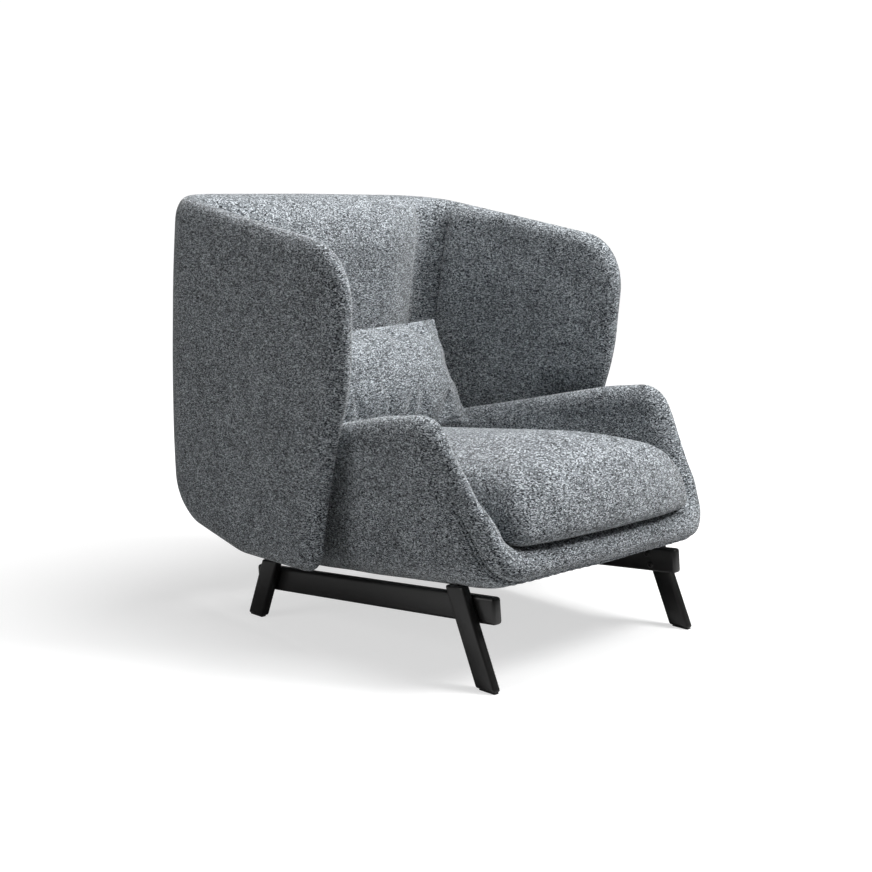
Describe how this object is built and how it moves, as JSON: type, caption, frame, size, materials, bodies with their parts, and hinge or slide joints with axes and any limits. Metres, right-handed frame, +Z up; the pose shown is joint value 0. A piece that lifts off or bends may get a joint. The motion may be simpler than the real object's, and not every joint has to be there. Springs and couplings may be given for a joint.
{
  "type": "upholstered armchair",
  "caption": "Wing armchair with a wrap-round upholstered shell, a seat tub with low arms, a loose seat cushion and a lumbar pillow, on two black wooden side frames.",
  "frame": {"origin": "on the floor under the middle of the chair's bounding box", "axes": "+Z up, the chair faces -Y, +X is the sitter's left"},
  "size_m": [0.8748, 1.0884, 0.948],
  "materials": {
    "upholstery": "woven melange tweed",
    "foam": "open-cell foam",
    "black_wood": "satin black stain",
    "plywood": "raw moulded plywood",
    "timber": "raw",
    "webbing": "elastic webbing",
    "steel": "zinc plated",
    "nylon": "matte"
  },
  "bodies": {
    "root": {"arm_pad_left": "upholstery", "arm_pad_right": "upholstery", "back_pad": "upholstery", "deck_frame_front": "timber", "deck_frame_left": "timber", "deck_frame_rear": "timber", "deck_frame_right": "timber", "deck_pad": "foam", "front_band": "upholstery", "glide_front_left": "nylon", "glide_front_right": "nylon", "glide_rear_left": "nylon", "glide_rear_right": "nylon", "hanger_bolt_front_left": "steel", "hanger_bolt_front_right": "steel", "hanger_bolt_rear_left": "steel", "hanger_bolt_rear_right": "steel", "lap_bolt_front_high_left": "steel", "lap_bolt_front_high_right": "steel", "lap_bolt_front_low_left": "steel", "lap_bolt_front_low_right": "steel", "lap_bolt_rear_high_left": "steel", "lap_bolt_rear_high_right": "steel", "lap_bolt_rear_low_left": "steel", "lap_bolt_rear_low_right": "steel", "leg_front_left": "black_wood", "leg_front_right": "black_wood", "leg_rear_left": "black_wood", "leg_rear_right": "black_wood", "pillow_back_cover": "upholstery", "pillow_filling": "foam", "pillow_front_cover": "upholstery", "rail_left": "black_wood", "rail_right": "black_wood", "seat_cushion_core": "foam", "seat_cushion_lower_cover": "upholstery", "seat_cushion_upper_cover": "upholstery", "seat_webbing": "webbing", "shell_bolt_front_left": "steel", "shell_bolt_front_right": "steel", "shell_bolt_rear_high_left": "steel", "shell_bolt_rear_high_right": "steel", "shell_bolt_rear_low_left": "steel", "shell_bolt_rear_low_right": "steel", "shell_core": "plywood", "shell_outer_cover": "upholstery", "shell_spacer_front_left": "nylon", "shell_spacer_front_right": "nylon", "shell_spacer_rear_high_left": "nylon", "shell_spacer_rear_high_right": "nylon", "shell_spacer_rear_low_left": "nylon", "shell_spacer_rear_low_right": "nylon", "tub_core": "plywood", "tub_outer_cover": "upholstery", "wing_pad_left": "upholstery", "wing_pad_right": "upholstery"}
  },
  "joints": []
}
